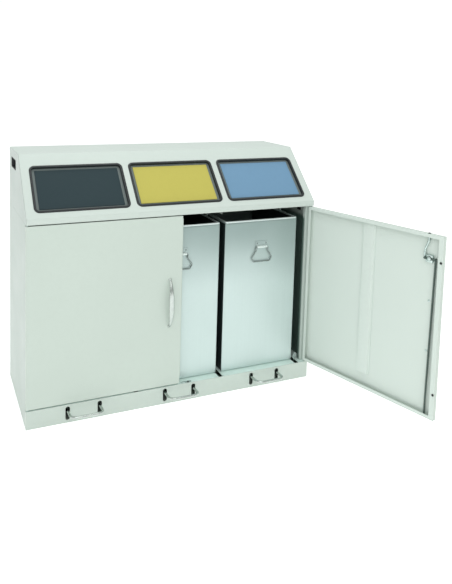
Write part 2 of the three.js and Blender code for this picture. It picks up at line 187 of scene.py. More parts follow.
def galvanised(name, light=(206, 222, 219), dark=(190, 207, 204), top=(150, 168, 165), side=(46, 57, 57), metallic=0.35):
    """Galvanised sheet: faint spangle and soft clouds, with painted shade that darkens it towards the rim under the
    hood, and painted shade on the sides that face a neighbour.
    """
    m = Mat(name)
    v = m.add("ShaderNodeTexVoronoi")
    v.inputs["Scale"].default_value = 90
    w = m.add("ShaderNodeTexNoise")
    w.inputs["Scale"].default_value = 30
    m.link(m.co, w.inputs["Vector"])
    mixv = m.add("ShaderNodeMix")
    mixv.data_type = "VECTOR"
    mixv.inputs[0].default_value = 0.04
    m.link(m.co, mixv.inputs[4])
    m.link(w.outputs["Color"], mixv.inputs[5])
    m.link(mixv.outputs[1], v.inputs["Vector"])
    s = m.add("ShaderNodeSeparateColor")
    m.link(v.outputs["Color"], s.inputs[0])
    cell = s.outputs[0]
    c = m.mix(m.span(cell, 0, 1, 0.42, 0.58), lin(dark), lin(light))
    c = m.mix(m.span(m.noise(2.6, 3), 0.3, 0.75, 0, 0.6), c, lin(light))
    c = m.mix(m.span(m.noise(1.0, 3, 0.6, (160, 160, 2.5)), 0.45, 0.85, 0, 0.25), c, lin(dark))
    # painted shade: the colour darkens towards the rim, standing for the hood's shadow on the bins' upper part
    cloud = m.noise(3.4, 1)
    zz = m.add("ShaderNodeMath", operation="MULTIPLY_ADD")
    m.link(cloud, zz.inputs[0])
    zz.inputs[1].default_value = 0.22
    m.link(m.z(), zz.inputs[2])
    c = m.mix(m.span(zz.outputs[0], 0.50, 0.83, 0.0, 1.0, True), c, lin(top))
    # painted shade: faces whose normal points along x take the darker side colour, for the shade between neighbouring
    # bins
    nx = m.add("ShaderNodeSeparateXYZ")
    m.link(m.add("ShaderNodeTexCoord").outputs["Normal"], nx.inputs[0])
    ax = m.add("ShaderNodeMath", operation="ABSOLUTE")
    m.link(nx.outputs["X"], ax.inputs[0])
    c = m.mix(m.span(ax.outputs[0], 0.80, 0.97, 0.0, 1.0, True), c, lin(side))
    m.link(c, m.b.inputs["Base Color"])
    m.b.inputs["Metallic"].default_value = metallic
    m.link(m.span(cell, 0, 1, 0.36, 0.46), m.b.inputs["Roughness"])
    n = m.bump(cell, 0.03, 0.0002)
    n = m.bump(m.noise(2.4, 2), 0.10, 0.004, n)
    m.link(n, m.b.inputs["Normal"])
    return m.m


def bright(name, rgb, r0, r1, metallic=1.0, lines=None):
    """Plated or brushed metal, with drawn lines where they show."""
    m = Mat(name)
    base = lin(rgb)
    c = m.mix(m.span(m.noise(40, 4), 0.35, 0.7, 0, 1), base, shade(base, 0.86))
    m.link(c, m.b.inputs["Base Color"])
    m.b.inputs["Metallic"].default_value = metallic
    m.link(m.span(m.noise(120, 3), 0.3, 0.7, r0, r1), m.b.inputs["Roughness"])
    h = m.noise(1.0, 2, 0.5, lines) if lines else m.noise(600, 2)
    m.link(m.bump(h, 0.08, 0.0002), m.b.inputs["Normal"])
    return m.m


def moulded(name, rgb, r0, r1, grain=900, depth=0.15):
    """Moulded plastic or rubber with a fine grain."""
    m = Mat(name)
    base = lin(rgb)
    c = m.mix(m.span(m.noise(35, 3), 0.3, 0.7, 0, 1), shade(base, 0.85), shade(base, 1.2))
    m.link(c, m.b.inputs["Base Color"])
    m.link(m.span(m.noise(80, 3), 0.3, 0.7, r0, r1), m.b.inputs["Roughness"])
    m.link(m.bump(m.noise(grain, 2), depth, 0.00025), m.b.inputs["Normal"])
    return m.m


BODY = powder("body_paint", (196, 208, 199))
# the side panels take a darker copy of the body paint, painted shade for faces turned sideways, with more painted shade
# inside below the bins' rims
SIDE_SHADE = powder("side_paint_shade", (190, 202, 195), inner=(92, 115, 107))
# the hood cheeks take a darker copy of the body paint: painted shade on faces turned sideways
CHEEK_SHADE = powder("cheek_paint_shade", (191, 202, 196), var=0.015, dust=0.0)
KICK = powder("kick_paint", (197, 209, 201))
DOORR = powder("door_paint", (196, 208, 199), lit=((-0.957, -0.291, 0.0), (210, 221, 214)))
# the right door's stiffener takes a lighter copy of the body paint: painted light, matching the painted light on that
# door's inner face
STIFF_LIT = powder("stiffener_paint_lit", (209, 220, 213), dust=0.0)
# the floor panel takes a lighter copy of the body paint: painted light on its upward face
FLOOR_LIT = powder("floor_paint_lit", (220, 240, 233), dust=0.02)
# the hood and its gussets take a lighter copy of the body paint: painted light on the hood's upward faces
HOOD_LIT = powder("hood_paint_lit", (199, 210, 203), var=0.015, dust=0.0)
# the head rail takes a dark copy of the body paint: painted shade under the hood's lip
INNER_SHADE = powder("inner_shade_paint", (122, 134, 128), r0=0.5, r1=0.62)
FLAPG = powder("flap_grey", (112, 122, 120), r0=0.42, r1=0.55, dust=0.0, spec=0.15)
DARK = powder("dark_paint", (20, 26, 27), r0=0.5, r1=0.65, var=0.06, dust=0.1, spec=0.15)
# dark grey-green for the lower lock rod and the cam: partly their own colour, partly painted shade for the shadowed gap
# beside the rod
ROD_PAINT_AND_SHADE = powder("rod_paint_and_shade", (64, 82, 75), r0=0.28, r1=0.36, var=0.05, dust=0.0, spec=0.6)
BLACK = moulded("black_plastic", (20, 28, 29), 0.4, 0.54)
RUBBER = moulded("black_rubber", (16, 18, 19), 0.6, 0.8)
GALV = galvanised("galvanised_sheet")
# the bins' rims take a lighter copy of the galvanised sheet: a painted highlight where the rolled top catches light
RIM_LIT = galvanised("galvanised_rim_lit", (232, 242, 239), (220, 232, 229), (222, 234, 231), (190, 204, 202), 0.25)
# the bail sleeves take a lighter copy of the galvanised sheet: a painted highlight on the curled bracket
LOOP_LIT = galvanised("galvanised_loop_lit", (226, 238, 233), (214, 228, 223), (222, 234, 230), (190, 204, 202), 0.3)
# the bail wires and rivets are painted darker than their bright zinc: painted shade for their dark outlines
WIRE_SHADE = bright("bail_wire", (148, 158, 155), 0.2, 0.3)
GALV_IN = galvanised("galvanised_inside", (150, 164, 162), (130, 144, 142), (110, 124, 122))
ZINC = bright("zinc_plate", (200, 215, 211), 0.22, 0.34)
CHROME = bright("satin_nickel", (196, 204, 199), 0.14, 0.24, lines=(900, 900, 25))
SLATE = powder("slate_panel", (44, 60, 64), r0=0.42, r1=0.52, peel=0.05, dust=0.0, spec=0.12)
OLIVE = powder("olive_panel", (187, 180, 90), r0=0.42, r1=0.52, peel=0.05, dust=0.0, spec=0.12)
BLUE = powder("blue_panel", (112, 149, 177), r0=0.42, r1=0.52, peel=0.05, dust=0.0, spec=0.12)


# ------------------------------------------------------------------ mesh helpers
def make(name, verts, faces, mat, body, slot, matrix=None, stands_for=(), angle=34, thick=0.0, bevel=0.0, seg=2):
    me = bpy.data.meshes.new(name)
    me.from_pydata([(x * MM, y * MM, z * MM) for x, y, z in verts], [], faces)
    bm = bmesh.new()
    bm.from_mesh(me)
    bmesh.ops.remove_doubles(bm, verts=bm.verts, dist=1e-6)
    bmesh.ops.recalc_face_normals(bm, faces=bm.faces)
    bm.to_mesh(me)
    bm.free()
    if matrix is not None:
        me.transform(matrix)
    me.shade_smooth()
    me.set_sharp_from_angle(angle=math.radians(angle))
    o = bpy.data.objects.new(name, me)
    bpy.context.scene.collection.objects.link(o)
    me.materials.append(mat)
    if thick:
        s = o.modifiers.new("sheet", "SOLIDIFY")
        s.thickness = thick * MM
        s.offset = 0
        s.use_even_offset = True
        s.use_quality_normals = True
    if bevel:
        add_bevel(o, bevel, seg)
    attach(o, body)
    if stands_for:
        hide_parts(*stands_for)
    return o


def add_bevel(o, width, seg=2, limit=32):
    b = o.modifiers.new("edge", "BEVEL")
    b.width = width * MM
    b.segments = seg
    b.limit_method = "ANGLE"
    b.angle_limit = math.radians(limit)
    b.harden_normals = True
    b.use_clamp_overlap = True


def merge(*parts):
    verts, faces = [], []
    for v, f in parts:
        k = len(verts)
        verts += list(v)
        faces += [tuple(i + k for i in q) for q in f]
    return verts, faces


def fillet(pts, r, n=6, closed=False):
    """Round the corners of a path with arcs of radius r."""
    P = [Vector(p) for p in pts]
    out = []
    m = len(P)
    for i in range(m):
        if not closed and i in (0, m - 1):
            out.append(P[i])
            continue
        a, p, c = P[i - 1], P[i], P[(i + 1) % m]
        u, v = (a - p), (c - p)
        lu, lv = u.length, v.length
        u.normalize(), v.normalize()
        ang = u.angle(v)
        if ang > math.pi - 1e-3:
            out.append(p)
            continue
        k = min(r / math.tan(ang / 2), 0.48 * lu, 0.48 * lv)
        rr = k * math.tan(ang / 2)
        bis = (u + v).normalized()
        cen = p + bis * (rr / math.sin(ang / 2))
        s, e = p + u * k - cen, p + v * k - cen
        tot = s.angle(e)
        for j in range(n + 1):
            t = j / n
            w0, w1 = math.sin((1 - t) * tot) / math.sin(tot), math.sin(t * tot) / math.sin(tot)
            out.append(cen + s * w0 + e * w1)
    return out


def sweep(path, radius, sides=20, closed=False, flat=None, dome=True):
    """A round bar along a path; flat is not used, and an oval bar takes (radius across, radius along the given axis) as
    its radius; the ends are domed.
    """
    P = [Vector(p) for p in path]
    n = len(P)
    tang = []
    for i in range(n):
        a = P[i - 1] if (i > 0 or closed) else P[i]
        c = P[(i + 1) % n] if (i < n - 1 or closed) else P[i]
        tang.append((c - a).normalized())
    ref = Vector((0, 0, 1)) if abs(tang[0].z) < 0.9 else Vector((1, 0, 0))
    u = (ref - tang[0] * ref.dot(tang[0])).normalized()
    rings = []
    for i in range(n):
        if i:
            q = tang[i - 1].rotation_difference(tang[i])
            u = (q @ u).normalized()
        v = tang[i].cross(u)
        ra = radius[i] if isinstance(radius, (list, tuple)) else radius
        if not isinstance(ra, (list, tuple)):
            ra = (ra, ra)
        rings.append((P[i], u.copy(), v, ra, tang[i]))
    verts, faces = [], []

    def ring(p, u, v, ra):
        k = len(verts)
        for j in range(sides):
            a = 2 * math.pi * j / sides
            verts.append(tuple(p + u * (ra[0] * math.cos(a)) + v * (ra[1] * math.sin(a))))
        return k

    seq = []
    if dome and not closed:
        p, u0, v0, ra, t0 = rings[0]
        for c in (0.35, 0.8):
            seq.append(ring(p - t0 * (0.35 * min(ra)) * math.cos(c * math.pi / 2) + t0 * 0.35 * min(ra), u0, v0, (ra[0] * (0.62 + 0.38 * math.sin(c * math.pi / 2)), ra[1] * (0.62 + 0.38 * math.sin(c * math.pi / 2)))))
    for i, (p, u1, v1, ra, t1) in enumerate(rings):
        if dome and not closed and i == 0:
            p = p + t1 * 0.36 * min(ra)
        if dome and not closed and i == n - 1:
            p = p - t1 * 0.36 * min(ra)
        seq.append(ring(p, u1, v1, ra))
    if dome and not closed:
        p, u0, v0, ra, t0 = rings[-1]
        for c in (0.8, 0.35):
            seq.append(ring(p + t0 * (0.35 * min(ra)) * math.cos(c * math.pi / 2) - t0 * 0.35 * min(ra), u0, v0, (ra[0] * (0.62 + 0.38 * math.sin(c * math.pi / 2)), ra[1] * (0.62 + 0.38 * math.sin(c * math.pi / 2)))))
    for a, b in zip(seq, seq[1:]):
        for j in range(sides):
            faces.append((a + j, a + (j + 1) % sides, b + (j + 1) % sides, b + j))
    if closed:
        a, b = seq[-1], seq[0]
        for j in range(sides):
            faces.append((a + j, a + (j + 1) % sides, b + (j + 1) % sides, b + j))
    else:
        faces.append(tuple(seq[0] + j for j in reversed(range(sides))))
        faces.append(tuple(seq[-1] + j for j in range(sides)))
    return verts, faces


def lathe(profile, n=28, origin=(0, 0, 0), axis=(0, 0, 1)):
    """Turned part: profile is (radius, height) pairs from the axis back to the axis."""
    q = Vector((0, 0, 1)).rotation_difference(Vector(axis).normalized())
    o = Vector(origin)
    verts, faces, rows = [], [], []
    for r, h in profile:
        if r < 1e-6:
            rows.append([len(verts)])
            verts.append(tuple(o + q @ Vector((0, 0, h))))
        else:
            rows.append(list(range(len(verts), len(verts) + n)))
            for j in range(n):
                a = 2 * math.pi * j / n
                verts.append(tuple(o + q @ Vector((r * math.cos(a), r * math.sin(a), h))))
    for a, b in zip(rows, rows[1:]):
        for j in range(n):
            if len(a) == 1 and len(b) == 1:
                continue
            if len(a) == 1:
                faces.append((a[0], b[j], b[(j + 1) % n]))
            elif len(b) == 1:
                faces.append((a[j], a[(j + 1) % n], b[0]))
            else:
                faces.append((a[j], a[(j + 1) % n], b[(j + 1) % n], b[j]))
    return verts, faces


def strip(path, a0, a1, axis, cuts=1):
    """Folded sheet: a path across, drawn along an axis, as one surface without thickness."""
    verts, faces = [], []
    rows = []
    for k in range(cuts + 1):
        a = a0 + (a1 - a0) * k / cuts
        row = []
        for p in path:
            q = {"x": (a, p[0], p[1]), "y": (p[0], a, p[1]), "z": (p[0], p[1], a)}[axis]
            row.append(len(verts))
            verts.append(q)
        rows.append(row)
    for r0, r1 in zip(rows, rows[1:]):
        for i in range(len(path) - 1):
            faces.append((r0[i], r0[i + 1], r1[i + 1], r1[i]))
    return verts, faces


def v2(pts):
    return [Vector((a, b, 0)) for a, b in pts]


def rrect(hw, hh, r, n=6):
    """Rounded rectangle, anticlockwise, as (x, y) points."""
    out = []
    for cx, cy, a0 in ((hw - r, -hh + r, -90), (hw - r, hh - r, 0), (-hw + r, hh - r, 90), (-hw + r, -hh + r, 180)):
        for k in range(n + 1):
            a = math.radians(a0 + 90 * k / n)
            out.append((cx + r * math.cos(a), cy + r * math.sin(a)))
    return out


def ring_profile(hw, hh, r, profile, n=8):
    """A closed section carried round a rounded rectangle: profile is (offset outwards, height) pairs."""
    verts, faces = [], []
    m = len(profile)
    count = 0
    for cx, cy, a0 in ((hw - r, -hh + r, -90), (hw - r, hh - r, 0), (-hw + r, hh - r, 90), (-hw + r, -hh + r, 180)):
        for k in range(n + 1):
            a = math.radians(a0 + 90 * k / n)
            for u, h in profile:
                verts.append((cx + (r + u) * math.cos(a), cy + (r + u) * math.sin(a), h))
            count += 1
    for i in range(count):
        for j in range(m):
            a, b = i * m, ((i + 1) % count) * m
            faces.append((a + j, a + (j + 1) % m, b + (j + 1) % m, b + j))
    return verts, faces


def slab(outline, h0, h1, e=0.0):
    """Flat plate from a closed outline, with a small chamfer e round its upper edge."""
    n = len(outline)
    cx = sum(p[0] for p in outline) / n
    cy = sum(p[1] for p in outline) / n

    def inset(d):
        out = []
        for i in range(n):
            a, p, c = Vector(outline[i - 1]), Vector(outline[i]), Vector(outline[(i + 1) % n])
            t = (c - a).normalized()
            out.append((p.x - t.y * d, p.y + t.x * d))
        return out

    rows = [(outline, h0)]
    if e:
        rows += [(outline, h1 - e), (inset(e * 0.35), h1 - e * 0.3), (inset(e), h1)]
    else:
        rows += [(outline, h1)]
    verts = [(p[0], p[1], h) for o, h in rows for p in o]
    faces = []
    for r in range(len(rows) - 1):
        for j in range(n):
            faces.append((r * n + j, r * n + (j + 1) % n, (r + 1) * n + (j + 1) % n, (r + 1) * n + j))
    faces.append(tuple(reversed(range(n))))
    faces.append(tuple((len(rows) - 1) * n + j for j in range(n)))
    return verts, faces


def remap(part, fn):
    v, f = part
    return [fn(*p) for p in v], f


def slope_map(cx, cs):
    y0, z0 = slope_point(cs, 0)
    return lambda a, b, c: (cx + a, y0 + b * UY + c * NY, z0 + b * UZ + c * NZ)


def screw(origin, axis, r=4.5, h=2.2, slot_=None):
    """Domed screw head."""
    return lathe([(0, -0.2), (r, -0.2), (r, 0.35 * h), (r * 0.93, 0.62 * h), (r * 0.7, 0.86 * h), (r * 0.42, h), (r * 0.36, h * 0.72), (0, h * 0.72)], 22, origin, axis)


def rivet(origin, axis, r=3.6, h=1.4):
    return lathe([(0, -0.2), (r, -0.2), (r * 0.96, 0.3 * h), (r * 0.75, 0.75 * h), (r * 0.4, 0.97 * h), (0, h)], 18, origin, axis)


# ------------------------------------------------------------------ CAD pieces that keep their shape
def dress(node, mat, bevel=0.4, seg=2, dissolve=True):
    o = NODES[node]
    o.data.materials.clear()
    o.data.materials.append(mat)
    for name in ("custom_normal", "sharp_face", "sharp_edge"):
        a = o.data.attributes.get(name)
        if a is not None:
            o.data.attributes.remove(a)
    o.data.polygons.foreach_set("use_smooth", [True] * len(o.data.polygons))
    w = o.modifiers.new("join", "WELD")
    w.merge_threshold = 2e-6
    if dissolve:
        d = o.modifiers.new("planar", "DECIMATE")
        d.decimate_type = "DISSOLVE"
        d.angle_limit = math.radians(1.0)
    add_bevel(o, bevel, seg)
    return o


for n_ in ("base_plate", "back_panel"):
    dress(n_, BODY, 0.35)
for n_ in ("left_side_panel", "right_side_panel"):
    dress(n_, SIDE_SHADE, 0.45)
dress("kick_plate", KICK, 0.45)
dress("floor_panel", FLOOR_LIT, 0.45)
dress("head_rail", INNER_SHADE, 0.4)
dress("wall_stop", RUBBER, 0.5)
dress("linkage_eye", ZINC, 0.2)
for n_ in ("left_hood_cheek", "right_hood_cheek"):
    dress(n_, CHEEK_SHADE, 0.5)
for n_ in ("left_hood_gusset", "right_hood_gusset"):
    dress(n_, HOOD_LIT, 0.4)
dress("left_door", BODY, 0.7, 3)
dress("right_door", DOORR, 0.7, 3)
for i in (1, 2, 3):
    dress(f"flap_{i}", FLAPG, 0.35)
    dress(f"flap_panel_{i}", (SLATE, OLIVE, BLUE)[i - 1], 0.5)

# ------------------------------------------------------------------ hood sheet with three windows
def build_hood():
    off = 0.75
    y1 = F + off
    oy, oz = F - off * NY, LIP_Z - off * NZ
    t = (y1 - oy) / UY
    fold = (y1, oz + t * UZ)
    u = (H - off - oz) / UZ
    upper = (oy + u * UY, H - off)
    path = [Vector((p[0], p[1], 0)) for p in ((y1, HOOD_Z + 0.2), fold, upper, (B - 0.4, H - off))]
    path = fillet(path, 4.0, 6)
    verts, faces, index = [], [], {}

    def vert(x, y, z):
        k = (round(x, 3), round(y, 3), round(z, 3))
        if k not in index:
            index[k] = len(verts)
            verts.append((x, y, z))
        return index[k]

    # along the slope: the straight run lies between path[7] and path[8]
    a, b = path[7], path[8]
    run = (b - a).length
    s_of_a = (Vector((a.x, a.y)) - Vector((oy, oz))).length
    n = 6
    r = 15.0
    bounds_x = [-IN, -193.2, 193.2, IN]
    xs = set(bounds_x)
    corner = []
    for k in range(n + 1):
        th = math.radians(90 * k / n)
        corner.append((r * math.cos(th), r * math.sin(th)))
    for c in FLAP_C:
        for dx, dy in corner:
            if dy >= dx - 1e-9:      # projects straight up or down
                if abs(dy - dx) > 1e-6:
                    xs.add(round(c + WIN_HW - r + dx, 4))
                    xs.add(round(c - WIN_HW + r - dx, 4))
    xs = sorted(xs)

    def on(s, x):
        p = Vector((oy, oz)) + Vector((UY, UZ)) * s
        return vert(x, p.x, p.y)

    s0, s1 = s_of_a, s_of_a + run
    for i, (p, q) in enumerate(zip(path, path[1:])):
        if i == 7:
            continue
        for xa, xb in zip(xs, xs[1:]):
            faces.append((vert(xa, p.x, p.y), vert(xb, p.x, p.y), vert(xb, q.x, q.y), vert(xa, q.x, q.y)))
    # cells round the windows
    for ci, c in enumerate(FLAP_C):
        xa, xb = bounds_x[ci], bounds_x[ci + 1]
        loop, outer = [], []
        for sx, sy, order in ((1, -1, 1), (1, 1, -1), (-1, 1, 1), (-1, -1, -1)):
            # quarter arcs in anticlockwise order
            pts = corner if (sx * sy > 0) else corner[::-1]
            for dx, dy in pts:
                x = c + sx * (WIN_HW - r + dx)
                s = WIN_C + sy * (WIN_HH - r + dy)
                loop.append((x, s))
                if abs(dx - dy) < 1e-6:
                    outer.append((xb if sx > 0 else xa, s1 if sy > 0 else s0))
                elif dy > dx:
                    outer.append((round(x, 4), s1 if sy > 0 else s0))
                else:
                    outer.append((xb if sx > 0 else xa, s))
        m = len(loop)
        # a side wall shared by two cells needs the corner's own point on both
        for j in range(m):
            k = (j + 1) % m
            lj, lk = on(loop[j][1], loop[j][0]), on(loop[k][1], loop[k][0])
            oj, ok = on(outer[j][1], outer[j][0]), on(outer[k][1], outer[k][0])
            quad = []
            for q in (oj, ok, lk, lj):
                if q not in quad:
                    quad.append(q)
            if len(quad) > 2:
                faces.append(tuple(quad))
    return verts, faces


v, f = build_hood()
make("hood_sheet", v, f, HOOD_LIT, "cabinet", "body_paint", stands_for=("hood_shell",), thick=1.5, bevel=0.4, angle=20)

# ------------------------------------------------------------------ flap frames
for i, c in enumerate(FLAP_C):
    prof = [(0.0, -7.4), (0.0, 1.2), (0.5, 2.2), (1.5, 2.75), (3.0, 2.8), (6.0, 2.6), (8.2, 1.9), (9.2, 1.0), (9.5, 0.35), (2.3, 0.32), (2.3, -7.4)]
    part = ring_profile(172.0, 94.5, 12, prof, 9)
    make(f"flap_frame_trim_{i + 1}", *remap(part, slope_map(c, WIN_C)), BLACK, "cabinet", "black_plastic", stands_for=(f"flap_frame_{i + 1}",), angle=40)

# ------------------------------------------------------------------ side grips
for side, s in (("left", -1), ("right", 1)):
    hw, hh, r = 63.6, 20.1, 7.6
    prof = [(0.0, 0.0), (0.0, -26.0), (-2.6, -26.0), (-2.6, -1.2), (-2.0, -0.2), (-1.0, 0.0)]
    wall = ring_profile(hw, hh, r, prof, 5)
    floor_ = slab(rrect(hw - 0.1, hh - 0.1, r, 5), -28.0, -25.2)
    ribs = []
    for k in range(-7, 8):
        ribs.append(slab(rrect(1.0, hh - 3.2, 0.9, 2), -25.4, -22.5, 0.6))
        ribs[-1] = remap(ribs[-1], lambda a, b, c_, kk=k: (a + kk * 7.4, b, c_))
    part = merge(wall, floor_, *ribs)
    GY, GZ = 102.0, 931.0
    fn = (lambda a, b, c_, s=s: (s * (W / 2 + c_), GY + a, GZ + b))
    make(f"{side}_grip_cup", *remap(part, fn), BLACK, "cabinet", "black_plastic", stands_for=(f"{side}_side_grip",), angle=40)

# ------------------------------------------------------------------ bins
for i, c in enumerate(BIN_C):
    body = "right_bin" if i == 2 else "cabinet"
    n = i + 1
    w, y0, y1, z0, z1 = 169.9, -186.4, 201.4, 69.6, 704.8
    cy, hd = (y0 + y1) / 2, (y1 - y0) / 2
    rc = 5.0
    levels = [(0.0, z0 + 0.6, -6.0), (0.0, z0 + 1.2, -3.0), (0.0, z0 + 3.0, -1.2), (0.0, z0 + 6.0, -0.5)]
    outline = rrect(w - 0.5, hd - 0.5, rc, 7)
    rows = []
    verts, faces = [], []

    def loop_at(inset_, z):
        o = rrect(w - 0.5 - inset_, hd - 0.5 - inset_, max(2.0, rc - inset_), 7)
        k = len(verts)
        verts.extend([(c + a, cy + b, z) for a, b in o])
        return k, len(o)

    zs = [(4.6, z0 + 0.5), (4.4, z0 + 3.2), (0.9, z0 + 3.8), (0.1, z0 + 4.8), (0.0, z0 + 7.0), (0.0, z0 + 34.0)]
    zs += [(0.0, z0 + 34.0 + (z1 - 14 - z0 - 34) * k / 6) for k in range(1, 7)]
    zs += [(0.0, z1 - 7.0)]
    loops = [loop_at(a, b) for a, b in zs]
    m = loops[0][1]
    for (a, _), (b, _) in zip(loops, loops[1:]):
        for j in range(m):
            faces.append((a + j, a + (j + 1) % m, b + (j + 1) % m, b + j))
    faces.append(tuple(loops[0][0] + j for j in reversed(range(m))))
    shell = make(f"bin_body_{n}", verts, faces, GALV, body, "galvanised", stands_for=(f"bin_{n}",), thick=1.0, angle=30)
    # rolled rim and the lapped seam on the back
    path = [(c + a, cy + b, z1 - 3.9) for a, b in rrect(w - 4.0, hd - 2.4, rc, 7)]
    rim = sweep(path, 3.9, 14, closed=True)
    make(f"bin_rim_{n}", *rim, RIM_LIT, body, "galvanised", angle=60)
    # spot-welded back seam
    seam = strip(fillet(v2([(c + 128, y1 + 0.2), (c + 130, y1 + 1.1), (c + 146, y1 + 1.1), (c + 148, y1 + 0.2)]), 1, 2), z0 + 8, z1 - 16, "z", 4)
    make(f"bin_seam_{n}", *seam, GALV, body, "galvanised", thick=0.6, angle=50)
    dots = [lathe([(0, 0), (2.6, 0), (2.2, 0.35), (0, 0.3)], 12, (c + 138, y1 + 1.35, z0 + 30 + k * 58), (0, 1, 0)) for k in range(11)]
    make(f"bin_spot_welds_{n}", *merge(*dots), GALV_IN, body, "galvanised", angle=60)

# ------------------------------------------------------------------ bails and their brackets
for i, c in enumerate(BIN_C):
    n = i + 1
    body = "right_bin" if i == 2 else "cabinet"
    y = -192.0
    fy = -186.5
    # bracket: plate on the bin's face, curled round the wire below
    curl = [Vector((fy - 1.05, 618, 0)), Vector((fy - 1.05, 592.5, 0))]
    for k in range(0, 15):
        a = math.radians(0 - k * 20)
        curl.append(Vector((y + 4.35 * math.cos(a), 589 + 4.35 * math.sin(a), 0)))
    plate = strip(fillet(v2([(fy - 1.05, 613), (fy - 1.05, 597), (fy - 1.05, 595)]), 1, 1), c - 30, c + 30, "x", 2)
    sleeve = strip(curl[1:], c - 23.5, c + 23.5, "x", 2)
    verts, faces = merge(plate, sleeve)
    make(f"bail_plate_{n}", *plate, GALV, body, "galvanised", thick=1.2, bevel=0.5, stands_for=(f"bail_bracket_{n}",))
    make(f"bail_sleeve_{n}", *strip([Vector((fy - 1.05, 597.5, 0))] + curl[1:], c - 23.5, c + 23.5, "x", 2), LOOP_LIT, body, "galvanised", thick=1.1, bevel=0.3, angle=45)
    make(f"bail_rivets_{n}", *merge(*[rivet((c + dx, fy - 1.6, 604), (0, -1, 0), 3.2, 1.5) for dx in (-21, 21)]), WIRE_SHADE, body, "zinc_steel", angle=50)
    bp = [(-15, 589), (-29, 589), (-27, 573), (-47, 545), (-38, 527.5), (38, 527.5), (47, 545), (27, 573), (29, 589), (15, 589)]
    path = fillet([(c + a, y, b) for a, b in bp], 6, 7)
    make(f"bail_wire_{n}", *sweep(path, 2.5, 14), WIRE_SHADE, f"bail_{n}", "zinc_steel", stands_for=(f"bail_{n}",), angle=50)

# ------------------------------------------------------------------ pedals, shaft, push rods, hinge rod
for i, c in enumerate(PEDAL_C):
    n = i + 1
    x = ROD_X[i]
    path = fillet([(c - 61, PIVOT_Y - 5, PIVOT_Z), (c - 61, F - 62, 48), (c + 61, F - 62, 48), (c + 61, PIVOT_Y - 5, PIVOT_Z)], 24, 10)
    bar = sweep(path, 5.0, 20)
    make(f"pedal_bar_{n}", *bar, CHROME, f"pedal_{n}", "zinc_steel", stands_for=(f"pedal_{n}",), angle=50)
    x0, x1 = c - 70, x + 6
    sleeve = lathe([(5.6, x0), (8.2, x0), (9.0, x0 + 0.8), (9.0, x1 - 0.8), (8.2, x1), (5.6, x1), (5.6, x0)], 26, (0, PIVOT_Y, PIVOT_Z), (1, 0, 0))
    a = math.atan2(-12, LEVER)
    ln = math.hypot(LEVER, 12)
    out = [(7.0, 5.4), (7.0, -5.4)]        # the arm starts in the sleeve's wall, clear of the shaft
    for k in range(9):
        t_ = -math.pi / 2 + math.pi * k / 8
        out.append((ln + 5 * math.cos(t_) * 0.9, 4.4 * math.sin(t_)))
    arm = slab(out, x - 3.2, x + 3.2, 0.5)
    ca, sa = math.cos(a), math.sin(a)
    arm = remap(arm, lambda p, q, r_: (r_, PIVOT_Y + p * ca - q * sa, PIVOT_Z + p * sa + q * ca))
    make(f"pedal_crank_{n}", *merge(sleeve, arm), ZINC, f"pedal_{n}", "zinc_steel", angle=40)
    pz = HZ - EAR * math.sin(EAR_A)
    rod = sweep([(x, ROD_Y, PIVOT_Z - 7), (x, ROD_Y, 60), (x, ROD_Y, 500), (x, ROD_Y, pz - 12), (x, ROD_Y, pz - 4.5)], 4.0, 20)
    make(f"push_rod_bar_{n}", *rod, ZINC, f"push_rod_{n}", "zinc_steel", stands_for=(f"push_rod_{n}",), angle=50)
make("pedal_shaft_bar", *sweep([(-IN + 1, PIVOT_Y, PIVOT_Z), (0, PIVOT_Y, PIVOT_Z), (IN - 1, PIVOT_Y, PIVOT_Z)], 5.0, 22), ZINC, "cabinet", "zinc_steel", stands_for=("pedal_shaft",), angle=50)
make("flap_hinge_bar", *sweep([(-IN + 1, HY, HZ), (0, HY, HZ), (IN - 1, HY, HZ)], 4.0, 20), ZINC, "cabinet", "zinc_steel", stands_for=("flap_hinge_rod",), angle=50)

# ------------------------------------------------------------------ door hardware
for name, xs_, mat_body, mx in (("left", -311, "left_door_leaf", None), ("right", 311, "right_door_leaf", DOOR)):
    yb = F + T + 0.3 + 0.75
    p = fillet(v2([(xs_ - 29.9, yb), (xs_ - 24.6, yb), (xs_ - 23, yb + 4.4), (xs_ + 23, yb + 4.4), (xs_ + 24.6, yb), (xs_ + 29.9, yb)]), 2, 4)
    make(f"{name}_stiffener_hat", *strip(p, 130.2, 742.8, "z", 3), BODY if mx is None else STIFF_LIT, mat_body, "body_paint", thick=1.5, bevel=0.3, matrix=mx, stands_for=(f"{name}_door_stiffener",))
p = fillet(v2([(-17.8, F + 19.05), (-2.25, F + 19.05), (-2.25, F + 22.25), (10.4, F + 22.25)]), 1.4, 3)
make("stop_strip_fold", *strip(p, 91.2, 735.8, "z", 3), BODY, "left_door_leaf", "body_paint", thick=1.5, bevel=0.25, stands_for=("door_stop_strip",))


